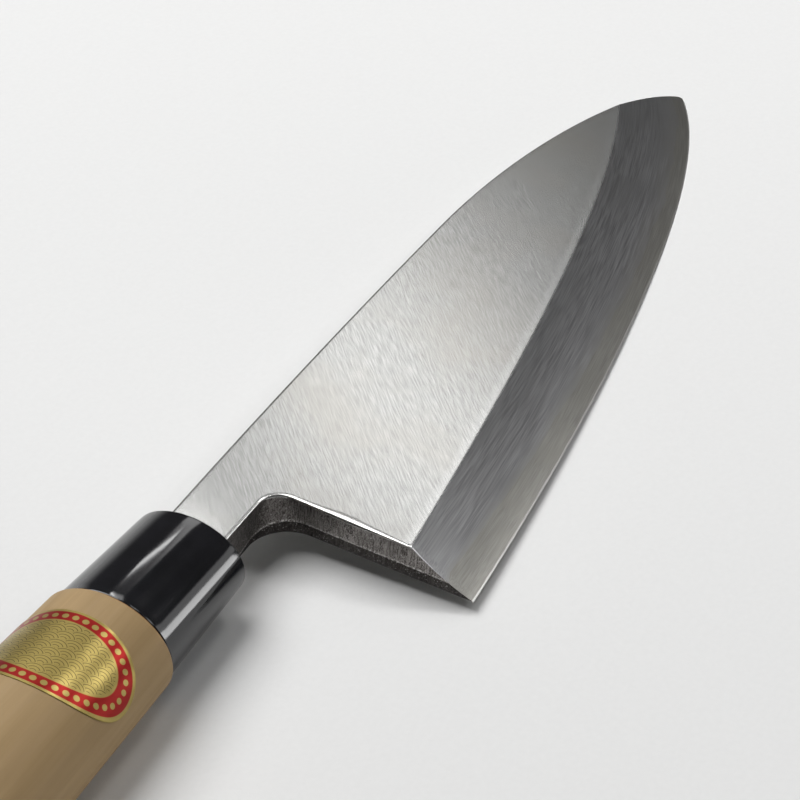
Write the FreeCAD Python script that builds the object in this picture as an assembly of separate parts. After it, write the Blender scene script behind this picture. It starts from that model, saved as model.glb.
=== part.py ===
import FreeCAD, Part
import math
import os

# A right-handed deba: a heavy single-bevel kitchen knife for fish.
# Working frame in millimetres: X runs along the handle's axis towards the tip and is 0 at the
# ferrule's front face, +Y points to the spine, and +Z to the bevelled face.

# Blade outline in plan
blade_length = 185.0          # heel corner to tip, along X
heel_from_ferrule = 17.9      # heel corner in front of the ferrule
heel_drop = 49.3              # heel corner below the handle's axis
heel_slant = 2.0              # degrees that the heel leans back towards the handle at the edge
tip_drop = 13.0               # tip below the handle's axis
tip_radius = 1.2
neck_top = 6.2                # spine above the axis where the neck begins
neck_bottom = 6.2             # belly of the neck below the axis
neck_rise = 0.5               # how much the belly of the neck rises to the heel
neck_gap = 1.2                # ferrule's face to the shoulder of the neck
choil_radius = 5.0            # hollow corner between neck and heel, at the flat face
choil_back_radius = 9.0       # the same corner at the back, towards which it widens
crest_from_ferrule = 118.0    # where the spine is highest
crest_height = 8.7
spine_crest_pull = 46.5       # how far the spine's curve leaves the crest level
spine_tip_pull = (3.0, 8.6)   # pull of the spine's curve at the tip, back and up
edge_heel_pull = (52.0, 3.2)  # pull of the edge's curve at the heel, forward and up
edge_tip_pull = (31.5, 23.0)  # pull of the edge's curve at the tip, back and down

# Blade thickness, bevel and back
spine_thickness = 8.7         # at the ferrule
tip_thickness = 2.6           # of the flat face's plane, over the tip
heel_thickness = 7.2          # at the ridge above the heel
bevel_width_heel = 13.4       # edge to ridge in plan, at the heel
bevel_width_tip = 18.1
bevel_hollow = 0.6            # depth of the hollow grind below the bevel's chord, at the heel
bevel_hollow_tip = 0.1        # the same depth at the tip, where the hollow has faded
edge_land = 0.12              # blunt flat left along the cutting edge
upper_ease = 0.5              # rounding round the flat face, all but the ridge
back_hollow = 0.4             # depth of the hollow ground into the back
back_rim_edge = 3.2           # flat rim kept beside the edge
back_rim_spine = 2.6          # flat rim kept beside the spine
back_rim_heel = 5.0           # flat kept in front of the heel
back_rim_tip = 16.0           # flat kept behind the tip

# Hard steel layer, forge-welded under the soft iron
steel_scarf_start = 3.0       # where the layer begins on the back of the neck
steel_at_heel = 2.6           # thickness above the back, at the heel
steel_at_tip = 0.5
steel_pull = (45.0, 2.05)     # pull of the layer's curve, forward and down from the heel

# Tang, drawn out of the blade's iron and burnt into the handle
tang_length = 96.0            # ferrule's face to the tang's end
tang_step = 1.0               # shoulder round the tang at the neck
tang_end_width = 5.0
tang_end_thickness = 3.0
tang_clearance = 0.1          # between tang and wood
shoulder_overlap = 1.5        # length of the tang's root inside the neck

# Ferrule, an oval sleeve
ferrule_length = 27.5
ferrule_front_width = 23.4
ferrule_front_height = 17.5
ferrule_wall = 2.3            # at the front
ferrule_ease = 0.5            # rounding of its outer edges
ferrule_clearance = 0.05      # between sleeve and tenon

# Handle, a tapered oval of wood with a tenon in front
handle_length = 102.5         # behind the ferrule
handle_front_width = 26.9
handle_front_height = 22.5
handle_butt_width = 33.6
handle_butt_height = 27.0
handle_lip = 0.7              # wood stands this far proud of the ferrule
handle_front_ease = 0.9
handle_butt_ease = 1.6
seat_gap = 0.03               # between ferrule and the wood's shoulder

# Resin that closes the ferrule's mouth round the tang
resin_depth = 1.6

# Oval paper-backed foil seal stuck across the top of the handle
label_width = 34.4            # round the handle
label_length = 19.6           # along the handle
label_from_ferrule = 44.0     # its centre behind the ferrule's front face
label_thickness = 0.12
label_gap = 0.03
label_points = 24

# Construction helpers
overcut = 3.0                 # how far a cutting tool runs past the blade
bevel_stations = 9
back_stations = 7
back_fade = 0.1               # the hollow's tool starts this far under the back
halvings = 40                 # steps of the search for a height on a curve
near = 0.01                   # two places closer than this are the same
upright = 0.99                # share of its length by which an upright edge rises

back_z = -spine_thickness / 2
tip_x = heel_from_ferrule + blade_length
heel = FreeCAD.Vector(heel_from_ferrule, -heel_drop, 0)
tip = FreeCAD.Vector(tip_x, -tip_drop, 0)
crest = FreeCAD.Vector(crest_from_ferrule, crest_height, 0)
lengthwise_taper = (spine_thickness - tip_thickness) / tip_x
ridge_at_heel = bevel_width_heel - heel_drop
side_taper = (spine_thickness - lengthwise_taper * heel.x - heel_thickness) / (neck_top - ridge_at_heel)


def point(x, y, z=0.0):
    """A point or direction in the working frame."""
    return FreeCAD.Vector(x, y, z)


def bezier(*poles):
    """A smooth curve that leaves its first pole and reaches its last one along its handles."""
    curve = Part.BezierCurve()
    curve.setPoles(list(poles))
    return curve


def prism(outline, direction):
    """A solid from closed edges, pushed along a direction."""
    return Part.Face(Part.Wire(outline)).extrude(direction)


def polygon_prism(corners, direction):
    """A solid from the corners of a flat polygon, pushed along a direction."""
    return Part.Face(Part.makePolygon(corners + corners[:1])).extrude(direction)


edge_curve = bezier(heel, heel + point(*edge_heel_pull), tip - point(*edge_tip_pull), tip)
spine_end = tip + point(-spine_tip_pull[0], spine_tip_pull[1])
spine_curve = bezier(crest, crest + point(spine_crest_pull, 0), spine_end, tip)


def height_on(curve, x):
    """Y of a curve at X, found by halving; past its ends it runs on straight."""
    for end in (0.0, 1.0):
        beyond = (x - curve.value(end).x) * (2 * end - 1)
        if beyond >= 0:
            slope = curve.tangent(end)[0]
            return curve.value(end).y + (x - curve.value(end).x) * slope.y / slope.x
    low, high = 0.0, 1.0
    for _ in range(halvings):
        middle = (low + high) / 2
        if curve.value(middle).x < x:
            low = middle
        else:
            high = middle
    return curve.value(low).y


def neck_arc_height(x):
    """Y of the spine's gentle arc from the neck up to the crest."""
    rise = crest_height - neck_top
    radius = (crest_from_ferrule ** 2 + rise ** 2) / (2 * rise)
    return crest_height - radius + math.sqrt(radius ** 2 - (crest_from_ferrule - x) ** 2)


def spine_height(x):
    """Y of the spine at X."""
    return neck_arc_height(x) if x < crest_from_ferrule else height_on(spine_curve, x)


def ridge_height(x):
    """Y of the ridge between the flat face and the bevel, whose width grows quickly, then slowly."""
    along = (x - heel.x) / blade_length
    width = bevel_width_heel + (bevel_width_tip - bevel_width_heel) * (2 - along) * along
    return height_on(edge_curve, x) + width


def hollow_depth(x):
    """Depth of the hollow grind at X, which fades slowly, then quickly, towards the tip."""
    along = (x - heel.x) / blade_length
    return bevel_hollow + (bevel_hollow_tip - bevel_hollow) * along ** 2


def face_z(x, y):
    """Z of the flat upper face, which thins towards the tip and towards the edge."""
    return back_z + spine_thickness - lengthwise_taper * x - side_taper * (neck_top - y)


def plan_solid():
    """The blade's plan outline as a plate, with its choil and tip rounded."""
    lean = math.tan(math.radians(heel_slant))
    belly = neck_rise - neck_bottom
    shoulder_top = point(neck_gap, neck_arc_height(neck_gap))
    shoulder_bottom = point(neck_gap, -neck_bottom)
    corner = point(heel.x + (heel_drop + belly) * lean, belly)
    halfway = (neck_gap + crest_from_ferrule) / 2
    rise = Part.Arc(shoulder_top, point(halfway, neck_arc_height(halfway)), crest)
    outline = [
        rise.toShape(),
        spine_curve.toShape(),
        edge_curve.toShape(),
        Part.LineSegment(heel, corner).toShape(),
        Part.LineSegment(corner, shoulder_bottom).toShape(),
        Part.LineSegment(shoulder_bottom, shoulder_top).toShape(),
    ]
    plate = prism(Part.__sortEdges__(outline), point(0, 0, spine_thickness + overcut))
    plate.translate(point(0, 0, back_z))
    plate = plate.makeFillet(tip_radius, [upright_edge(plate, tip)])
    choil_edge = upright_edge(plate, corner)
    widening = (choil_back_radius - choil_radius) / (face_z(corner.x, corner.y) - back_z)
    radii = [choil_back_radius - widening * (vertex.Z - back_z) for vertex in choil_edge.Vertexes]
    return plate.makeFillet(*radii, [choil_edge])


def upright_edge(solid, place):
    """The vertical edge of a solid nearest to a place in plan."""
    edges = [edge for edge in solid.Edges if abs(edge.tangentAt(edge.FirstParameter).z) > upright]

    def away(edge):
        return math.hypot(edge.CenterOfMass.x - place.x, edge.CenterOfMass.y - place.y)

    return min(edges, key=away)


def above_face():
    """Everything above the flat upper face, as a wide block."""
    reach_x = tip_x + overcut
    reach_y = heel_drop + overcut
    corners = [
        point(x, y, face_z(x, y))
        for x, y in ((-overcut, -reach_y), (reach_x, -reach_y), (reach_x, reach_y), (-overcut, reach_y))
    ]
    return polygon_prism(corners, point(0, 0, 2 * spine_thickness))


def bevel_section(x):
    """Outline, at one X, of what the bevel's hollow grind takes away above its arc."""
    edge_y = height_on(edge_curve, x)
    ridge_y = ridge_height(x)
    start = point(x, edge_y, back_z + edge_land)
    end = point(x, ridge_y, face_z(x, ridge_y))
    chord = end - start
    upward = point(0, -chord.z, chord.y).normalize()
    half = chord.Length / 2
    hollow = hollow_depth(x)
    radius = (half ** 2 + hollow ** 2) / (2 * hollow)
    centre = start + chord * 0.5 + upward * (radius - hollow)
    swing = math.asin(half / radius) + overcut / radius
    along = chord.normalize()

    def on_arc(angle):
        return centre + along * (radius * math.sin(angle)) - upward * (radius * math.cos(angle))

    low, middle, high = on_arc(-swing), on_arc(0), on_arc(swing)
    ceiling = back_z + 2 * spine_thickness
    over_high = point(x, high.y, ceiling)
    over_low = point(x, low.y, ceiling)
    corners = [high, over_high, over_low, low]
    sides = [Part.LineSegment(a, b).toShape() for a, b in zip(corners, corners[1:])]
    return Part.Wire([Part.Arc(low, middle, high).toShape()] + sides)


def above_bevel():
    """What the hollow-ground bevel takes away, from heel to tip."""
    first = heel.x - overcut
    step = (tip_x + overcut - first) / (bevel_stations - 1)
    return Part.makeLoft([bevel_section(first + step * i) for i in range(bevel_stations)], True)


def back_section(x, along):
    """Outline, at one X, of the shallow hollow in the back; it fades out at both ends."""
    low_y = height_on(edge_curve, x) + back_rim_edge
    high_y = spine_height(x) - back_rim_spine
    depth = back_fade / 2 + (back_hollow + back_fade / 2) * (1 - (2 * along - 1) ** 4)
    floor = back_z - back_fade
    low = point(x, low_y, floor)
    high = point(x, high_y, floor)
    top = point(x, (low_y + high_y) / 2, floor + depth)
    under_high = point(x, high_y, floor - overcut)
    under_low = point(x, low_y, floor - overcut)
    corners = [high, under_high, under_low, low]
    sides = [Part.LineSegment(a, b).toShape() for a, b in zip(corners, corners[1:])]
    return Part.Wire([Part.Arc(low, top, high).toShape()] + sides)


def in_back():
    """The hollow ground into the back, inside a flat rim."""
    first = heel.x + back_rim_heel
    length = tip_x - back_rim_tip - first
    shares = [i / (back_stations - 1) for i in range(back_stations)]
    return Part.makeLoft([back_section(first + length * share, share) for share in shares], True)


def ease_upper_edges(blade):
    """Round the edges of the flat upper face, but leave the ridge crisp."""

    def off_face(face):
        return abs(face_z(face.CenterOfMass.x, face.CenterOfMass.y) - face.CenterOfMass.z)

    def off_ridge(edge):
        return abs(ridge_height(edge.CenterOfMass.x) - edge.CenterOfMass.y)

    flat = min(blade.Faces, key=off_face)
    ridge = min(flat.Edges, key=off_ridge)
    return blade.makeFillet(upper_ease, [edge for edge in flat.Edges if not edge.isSame(ridge)])


def below_weld():
    """Everything under the weld between iron and steel: a scarf at the neck, then a long thin curve."""
    weld_heel = point(heel.x + steel_at_heel, 0, back_z + steel_at_heel)
    weld_tip = point(tip_x + overcut, 0, back_z + steel_at_tip)
    scarf = weld_heel - point(steel_scarf_start, 0, back_z)
    start = point(steel_scarf_start, 0, back_z) - scarf * (overcut / scarf.z)
    curve = bezier(weld_heel, weld_heel + point(steel_pull[0], 0, -steel_pull[1]), weld_tip)
    under_tip = point(weld_tip.x, 0, start.z)
    outline = [
        Part.LineSegment(start, weld_heel).toShape(),
        curve.toShape(),
        Part.LineSegment(weld_tip, under_tip).toShape(),
        Part.LineSegment(under_tip, start).toShape(),
    ]
    reach = heel_drop + overcut
    block = prism(outline, point(0, 2 * reach, 0))
    block.translate(point(0, -reach, 0))
    return block


def box_wire(x, width, thickness):
    """A rectangle across X, width along Y and thickness along Z."""
    signs = ((-1, -1), (1, -1), (1, 1), (-1, 1))
    corners = [point(x, side * width / 2, rise * thickness / 2) for side, rise in signs]
    return Part.makePolygon(corners + corners[:1])


def tang_solid(clearance, front):
    """The tapering tang from a front X back to its end, grown by a clearance for its hole."""
    root_width = neck_top + neck_bottom - 2 * tang_step
    root_thickness = spine_thickness - 2 * tang_step
    run = tang_length + neck_gap
    sections = []
    for x in (front, -tang_length - clearance):
        share = (neck_gap - x) / run
        width = root_width + (tang_end_width - root_width) * share + 2 * clearance
        thickness = root_thickness + (tang_end_thickness - root_thickness) * share + 2 * clearance
        sections.append(box_wire(x, width, thickness))
    return Part.makeLoft(sections, True, True)


def oval_wire(x, width, height):
    """An upright ellipse across X."""
    across = point(x, width / 2, 0)
    upright = point(x, 0, height / 2)
    centre = point(x, 0, 0)
    longer, shorter = (across, upright) if width >= height else (upright, across)
    return Part.Wire(Part.Ellipse(longer, shorter, centre).toShape())


def oval_bar(front_x, front_size, back_x, back_size):
    """A straight or tapered bar between two ovals, given as width and height."""
    return Part.makeLoft([oval_wire(front_x, *front_size), oval_wire(back_x, *back_size)], True, True)


def rim_edges(solid, x):
    """The closed outer edges of a bar that lie across one X."""
    flat = [edge for edge in solid.Edges if edge.BoundBox.XLength < near]
    return [edge for edge in flat if abs(edge.BoundBox.XMin - x) < near]


def handle_size(behind_ferrule, proud=0.0):
    """Width and height of the handle's oval at a distance behind the ferrule's back, grown by proud."""
    share = behind_ferrule / handle_length
    width = handle_front_width + (handle_butt_width - handle_front_width) * share + 2 * proud
    height = handle_front_height + (handle_butt_height - handle_front_height) * share + 2 * proud
    return width, height


def tenon_size(grow=0.0):
    """Width and height of the tenon that fills the ferrule, grown by a clearance."""
    narrowing = 2 * (ferrule_wall + ferrule_clearance - grow)
    return ferrule_front_width - narrowing, ferrule_front_height - narrowing


def blade_solids():
    """The iron body with its tang, and the steel layer under it."""
    blade = ease_upper_edges(plan_solid().cut(above_face()).cut(above_bevel()).cut(in_back()))
    weld = below_weld()
    steel = blade.common(weld)
    iron = blade.cut(weld).fuse(tang_solid(0.0, neck_gap + shoulder_overlap)).removeSplitter()
    return iron, steel


def ferrule_solid():
    """The oval sleeve, a little smaller than the wood behind it."""
    back_size = (handle_front_width - 2 * handle_lip, handle_front_height - 2 * handle_lip)
    sleeve = oval_bar(0, (ferrule_front_width, ferrule_front_height), -ferrule_length, back_size)
    sleeve = sleeve.makeFillet(ferrule_ease, rim_edges(sleeve, 0) + rim_edges(sleeve, -ferrule_length))
    bore_size = tenon_size(ferrule_clearance)
    return sleeve.cut(oval_bar(overcut, bore_size, -ferrule_length - overcut, bore_size))


def handle_solid():
    """The wooden grip with its tenon and the burnt hole for the tang."""
    shoulder = -ferrule_length - seat_gap
    butt = -ferrule_length - handle_length
    grip = oval_bar(shoulder, handle_size(seat_gap), butt, handle_size(handle_length))
    grip = grip.makeFillet(handle_front_ease, rim_edges(grip, shoulder))
    grip = grip.makeFillet(handle_butt_ease, rim_edges(grip, butt))
    tenon = oval_bar(-resin_depth, tenon_size(), shoulder - handle_front_ease, tenon_size())
    return grip.fuse(tenon).cut(tang_solid(tang_clearance, overcut)).removeSplitter()


def resin_solid():
    """The resin plug in the ferrule's mouth, cast round the tang."""
    plug = oval_bar(0, tenon_size(), -resin_depth + seat_gap, tenon_size())
    return plug.cut(tang_solid(tang_clearance, overcut))


def label_solid():
    """The thin oval seal, bent round the top of the handle."""
    middle = -label_from_ferrule
    skins = []
    for proud in (label_gap, label_gap + label_thickness):
        ends = [middle + label_length, middle - label_length]
        sizes = [handle_size(-ferrule_length - x, proud) for x in ends]
        skins.append(oval_bar(ends[0], sizes[0], ends[1], sizes[1]))
    width, height = handle_size(label_from_ferrule - ferrule_length)
    bend_radius = (width + height) / 4
    outline = []
    for i in range(label_points):
        turn = 2 * math.pi * i / label_points
        around = label_width / 2 * math.cos(turn) / bend_radius
        outline.append(point(middle + label_length / 2 * math.sin(turn), width / 2 * math.sin(around)))
    edge = Part.BSplineCurve()
    edge.interpolate(outline, PeriodicFlag=True)
    return skins[1].cut(skins[0]).common(prism([edge.toShape()], point(0, 0, handle_butt_height)))


def main():
    """Build every piece, centre the knife over its lowest point and write one file per piece."""
    iron, steel = blade_solids()
    pieces = {
        "blade_body": iron,
        "edge_steel": steel,
        "ferrule": ferrule_solid(),
        "handle": handle_solid(),
        "tang_seal": resin_solid(),
        "handle_label": label_solid(),
    }
    box = Part.makeCompound(list(pieces.values())).optimalBoundingBox(False, False)
    to_origin = point(-box.Center.x, -box.Center.y, -box.ZMin)
    os.makedirs("parts", exist_ok=True)
    for name, shape in pieces.items():
        shape.translate(to_origin)
        shape.exportStep("parts/" + name + ".step")
        size = shape.optimalBoundingBox(False, False)
        print(name, "valid", shape.isValid(), "solids", len(shape.Solids), "faces", len(shape.Faces),
              "volume %.1f" % shape.Volume, "box %.2f %.2f %.2f" % (size.XLength, size.YLength, size.ZLength))
    print("ferrule face centre at X %.3f Y %.3f Z %.3f" % (to_origin.x, to_origin.y, to_origin.z))


main()
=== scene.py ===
# %% [markdown]
# # A deba knife in Blender
# A deba is a heavy kitchen knife for fish: a thick blade of soft iron with a layer of hard steel
# forge-welded under it, ground on one side only, and burnt into an oval wooden handle.
# The CAD frame holds the exact solids. This script gives each of them a fine smooth skin of the same
# size and its finish, then sets a floor, lights and a camera. It starts by loading the frame and keeping
# its box. All places are measured from the ferrule's front face, wherever that lies in the frame.

# %% Load the frame
import math

import bmesh
import bpy
import numpy as np
from mathutils import Matrix, Quaternion, Vector


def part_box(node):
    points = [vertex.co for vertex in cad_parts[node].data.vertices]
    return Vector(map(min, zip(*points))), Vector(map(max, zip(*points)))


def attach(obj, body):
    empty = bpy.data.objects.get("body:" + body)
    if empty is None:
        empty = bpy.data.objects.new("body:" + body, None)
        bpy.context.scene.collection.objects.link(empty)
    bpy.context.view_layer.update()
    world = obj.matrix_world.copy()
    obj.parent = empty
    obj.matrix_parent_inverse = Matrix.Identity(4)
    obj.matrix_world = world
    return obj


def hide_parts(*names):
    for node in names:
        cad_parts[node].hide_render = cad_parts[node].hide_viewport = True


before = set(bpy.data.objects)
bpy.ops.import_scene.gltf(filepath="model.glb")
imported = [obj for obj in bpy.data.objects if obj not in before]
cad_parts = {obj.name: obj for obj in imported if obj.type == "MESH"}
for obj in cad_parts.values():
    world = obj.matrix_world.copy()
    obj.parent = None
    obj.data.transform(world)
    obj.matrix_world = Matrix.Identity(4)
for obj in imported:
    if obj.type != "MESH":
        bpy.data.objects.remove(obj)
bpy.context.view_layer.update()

MM = 0.001
ferrule_low, ferrule_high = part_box("ferrule")
origin = np.array([
    ferrule_high.x,
    (ferrule_low.y + ferrule_high.y) / 2,
    (ferrule_low.z + ferrule_high.z) / 2,
])
print("nodes:", sorted(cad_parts), "ferrule face at", origin.round(5))

# %% [markdown]
# ## From grids of points to pieces
# Every skin here is one or more grids: a formula gives the points for all rows and columns at once,
# and neighbours in the grid become quads. Grids of one piece meet in exactly the same points, so merging
# doubles sews them into one closed shell, and a row that shrinks to a point becomes a neat pole.
# Sizes are written in millimetres in a working frame: X along the handle's axis towards the tip and
# 0 at the ferrule's front face, +Y to the spine, +Z to the bevelled face.

# %% Grids and pieces
merge_distance = 0.001 * MM


def to_row(points):
    """Working millimetres to the frame's metres: a thousandth of each, shifted to the ferrule's face."""
    return origin + np.asarray(points) * MM


def grid_quads(rows, columns, around):
    """Corner numbers of the quads of a grid; with around, the last column joins the first."""
    row = np.arange(rows - 1)[:, None]
    column = np.arange(columns if around else columns - 1)[None, :]
    following = (column + 1) % columns
    corners = [row * columns + column, row * columns + following]
    corners += [(row + 1) * columns + following, (row + 1) * columns + column]
    return np.stack(np.broadcast_arrays(*corners), -1).reshape(-1, 4)


def make_piece(name, patches, materials, nodes):
    """One closed mesh from patches of (grid of points, joined around or not, number of its material)."""
    points, quads, finishes, count = [], [], [], 0
    for grid, around, finish in patches:
        corners = grid_quads(grid.shape[0], grid.shape[1], around)
        points.append(to_row(grid.reshape(-1, 3)))
        quads.append(corners + count)
        finishes.append(np.full(len(corners), finish))
        count += grid.shape[0] * grid.shape[1]
    mesh = bpy.data.meshes.new(name)
    mesh.from_pydata(np.concatenate(points).tolist(), [], np.concatenate(quads).tolist())
    mesh.polygons.foreach_set("material_index", np.concatenate(finishes).astype(np.int32))
    shell = bmesh.new()
    shell.from_mesh(mesh)
    bmesh.ops.remove_doubles(shell, verts=shell.verts, dist=merge_distance)
    bmesh.ops.recalc_face_normals(shell, faces=shell.faces)
    open_edges = sum(not edge.is_manifold for edge in shell.edges)
    shell.to_mesh(mesh)
    volume = shell.calc_volume()
    shell.free()
    for material in materials:
        mesh.materials.append(material)
    piece = bpy.data.objects.new(name, mesh)
    bpy.context.scene.collection.objects.link(piece)
    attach(piece, "root")
    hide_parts(*nodes)
    print(f"{name}: {len(mesh.polygons)} faces, {open_edges} open edges, {volume / MM**3:.0f} mm3")
    return piece


# %% Shading and values per vertex
crease_angle = math.radians(32)


def read_all(items, field, kind):
    """One value per mesh item, read into an array at once."""
    values = np.empty(len(items), kind)
    items.foreach_get(field, values)
    return values


def shade(piece, hidden_finish=None):
    """Smooth shading, broken where faces meet at more than the crease angle or at a hidden finish."""
    mesh = piece.data
    mesh.polygons.foreach_set("use_smooth", np.ones(len(mesh.polygons), bool))
    mesh.set_sharp_from_angle(angle=crease_angle)
    if hidden_finish is None:
        return
    edge_of_corner = read_all(mesh.loops, "edge_index", np.int32)
    finish = read_all(mesh.polygons, "material_index", np.int32)
    corners = read_all(mesh.polygons, "loop_total", np.int32)
    touches = np.zeros(len(mesh.edges), bool)
    touches[edge_of_corner[np.repeat(finish == hidden_finish, corners)]] = True
    sharp = mesh.attributes.get("sharp_edge") or mesh.attributes.new("sharp_edge", "BOOLEAN", "EDGE")
    sharp.data.foreach_set("value", read_all(sharp.data, "value", bool) | touches)


def working_points(piece):
    """A piece's vertices back in working millimetres, one row each."""
    points = np.empty(len(piece.data.vertices) * 3, np.float32)
    piece.data.vertices.foreach_get("co", points)
    return (points.reshape(-1, 3).astype(float) - origin) / MM


def add_attribute(piece, name, values):
    """A number or a vector per vertex that a material can read by name."""
    kind, field = ("FLOAT", "value") if np.ndim(values) == 1 else ("FLOAT_VECTOR", "vector")
    attribute = piece.data.attributes.new(name, kind, "POINT")
    attribute.data.foreach_set(field, np.asarray(values, np.float32).ravel())


# %% [markdown]
# ## Helpers for materials
# A material is a small graph of nodes. Writing one with bpy takes many lines, so a short helper makes a
# node, sets its options and fills each input with a value or with another node's output. The others are
# the few kinds of node that every finish here is made of.

# %% Node helpers
# Numbers of the sockets of a Mix node that is set to colours.
mix_share, mix_first, mix_second, mix_result = 0, 6, 7, 2
# Nearly all values of a noise lie in the noise range.
whole, noise_range = (0.0, 1.0), (0.3, 0.7)


def feed(tree, socket, value):
    """Fills an input: another node's output is linked to it, a plain value is set on it."""
    if isinstance(value, bpy.types.NodeSocket):
        tree.links.new(value, socket)
    else:
        socket.default_value = value


def add(tree, kind, inputs=None, **settings):
    """A node with its settings and its filled inputs."""
    node = tree.nodes.new(kind)
    for key, value in settings.items():
        setattr(node, key, value)
    for key, value in (inputs or {}).items():
        feed(tree, node.inputs[key], value)
    return node


def math_node(tree, operation, first, second=0.0):
    """The result of one arithmetic step."""
    return add(tree, "ShaderNodeMath", {0: first, 1: second}, operation=operation).outputs[0]


def vector_node(tree, operation, first, second):
    """The result of one arithmetic step on vectors."""
    return add(tree, "ShaderNodeVectorMath", {0: first, 1: second}, operation=operation).outputs[0]


def split(tree, vector):
    """The three parts of a vector, by the names X, Y and Z."""
    return add(tree, "ShaderNodeSeparateXYZ", {0: vector}).outputs


def stored(tree, name):
    """What the vertices store under a name: Fac for a number, Vector for a vector."""
    return add(tree, "ShaderNodeAttribute", attribute_name=name).outputs


def spread(tree, value, source, target=whole):
    """A value carried from one range to another and held inside it."""
    limits = {"From Min": source[0], "From Max": source[1], "To Min": target[0], "To Max": target[1]}
    return add(tree, "ShaderNodeMapRange", {"Value": value, **limits}).outputs[0]


def mix_colour(tree, share, first, second):
    """Two colours mixed by a share from 0 to 1."""
    sockets = {mix_share: share, mix_first: first, mix_second: second}
    return add(tree, "ShaderNodeMix", sockets, data_type="RGBA").outputs[mix_result]


def noise(tree, place, scale=1.0, detail=2.0, roughness=0.5, distortion=0.0):
    """Soft random values, most of them inside the noise range."""
    sockets = {"Vector": place, "Scale": scale, "Detail": detail}
    sockets |= {"Roughness": roughness, "Distortion": distortion}
    return add(tree, "ShaderNodeTexNoise", sockets).outputs["Fac"]


def object_mm(tree, turn=0.0, stretch=(1.0, 1.0, 1.0)):
    """Object coordinates in millimetres from the ferrule's face, turned about Z and stretched."""
    place = add(tree, "ShaderNodeTexCoord").outputs["Object"]
    centred = vector_node(tree, "SUBTRACT", place, tuple(origin))
    turned = add(tree, "ShaderNodeMapping", {"Vector": centred, "Rotation": (0, 0, -turn)}).outputs[0]
    return vector_node(tree, "MULTIPLY", turned, tuple(factor / MM for factor in stretch))


# %% Material and group helpers
def new_material(name, **constants):
    """A material with a Principled shader, whose constant values sit on the shader's own sockets."""
    material = bpy.data.materials.new(name)
    material.use_nodes = True
    shader = material.node_tree.nodes["Principled BSDF"]
    for key, value in constants.items():
        shader.inputs[key.replace("_", " ").title().replace("Ior", "IOR")].default_value = value
    return material, material.node_tree, shader


def dress(tree, shader, colour, roughness, height, strength, depth):
    """Leads colour and roughness into the shader, and a height as a bump of a given strength and depth."""
    feed(tree, shader.inputs["Base Color"], colour)
    feed(tree, shader.inputs["Roughness"], roughness)
    bump = add(tree, "ShaderNodeBump", {"Height": height, "Strength": strength, "Distance": depth})
    feed(tree, shader.inputs["Normal"], bump.outputs[0])


def new_group(name, numbers, outputs):
    """A shader node group that takes a Vector and named numbers, and its inner input and output sockets."""
    tree = bpy.data.node_groups.new(name, "ShaderNodeTree")
    tree.interface.new_socket("Vector", in_out="INPUT", socket_type="NodeSocketVector")
    for socket, value in numbers.items():
        made = tree.interface.new_socket(socket, in_out="INPUT", socket_type="NodeSocketFloat")
        made.default_value = value
    for socket in outputs:
        tree.interface.new_socket(socket, in_out="OUTPUT", socket_type="NodeSocketFloat")
    return tree, tree.nodes.new("NodeGroupInput").outputs, tree.nodes.new("NodeGroupOutput").inputs


def use_group(tree, group, vector, **numbers):
    """A group placed in a material with its own values."""
    return add(tree, "ShaderNodeGroup", {"Vector": vector, **numbers}, node_tree=group).outputs


# %% [markdown]
# ## Grinding marks and clouds, shared by all the steel
# Ground steel is covered with fine parallel scratches: here the flat face is ground at a slant, the bevel
# along the edge. A noise squeezed across and stretched along gives such lines at any size, so one group
# with a length and a width serves every finish. A second group gives slow clouds, for the stains and the
# uneven polish that keep a hand-finished face from looking like sheet metal.

# %% Groups for steel
band_squeeze = (0.4, 0.16, 0.16)
speck_scale, speck_range = 40.0, (0.62, 0.78)

lines_group, given, result = new_group("grind_lines", {"Length": 20.0, "Width": 0.3}, ("Lines", "Bands"))
along = math_node(lines_group, "DIVIDE", 1.0, given["Length"])
across = math_node(lines_group, "DIVIDE", 1.0, given["Width"])
squeeze = add(lines_group, "ShaderNodeCombineXYZ", {"X": along, "Y": across, "Z": across}).outputs[0]
squeezed = vector_node(lines_group, "MULTIPLY", given["Vector"], squeeze)
broader = vector_node(lines_group, "MULTIPLY", squeezed, band_squeeze)
feed(lines_group, result["Lines"], noise(lines_group, squeezed, detail=0.0))
feed(lines_group, result["Bands"], noise(lines_group, broader))

clouds_group, given, result = new_group("clouds", {"Size": 20.0}, ("Clouds", "Specks"))
per_size = math_node(clouds_group, "DIVIDE", 1.0, given["Size"])
by_size = {0: given["Vector"], "Scale": per_size}
scaled = add(clouds_group, "ShaderNodeVectorMath", by_size, operation="SCALE").outputs[0]
soft = noise(clouds_group, scaled, detail=3.0, roughness=0.55, distortion=0.4)
feed(clouds_group, result["Clouds"], spread(clouds_group, soft, noise_range))
fine = noise(clouds_group, scaled, speck_scale, roughness=0.6)
feed(clouds_group, result["Specks"], spread(clouds_group, fine, speck_range))
print("groups:", [group.name for group in bpy.data.node_groups])

# %% [markdown]
# ## Finishes of the blade
# The flat face is satin, bright and ground at a slant; its light scratches are the smoother ones, and a
# thin line beside the ridge is painted lighter as a painted highlight. The bevel's iron is duller and
# greyer, ground along the edge, with a thin line of painted shade under the ridge. Beside the edge the
# hard steel takes a finer, slightly warmer polish and ends in a honed line, whose glint is painted in as
# a bright colour. Between iron and steel lies a hazy border, which is the mark of a laminated blade. All
# are one metal, so they share the groups and differ in colour, roughness and relief.

# %% Ground steel
flat_grind_angle = math.radians(43)
grind_depth, band_share = 0.1 * MM, 0.15
stain_clouds, stain_share, sheen_range = (0.4, 1.0), (0.0, 0.6), (0.35, 0.65)


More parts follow.
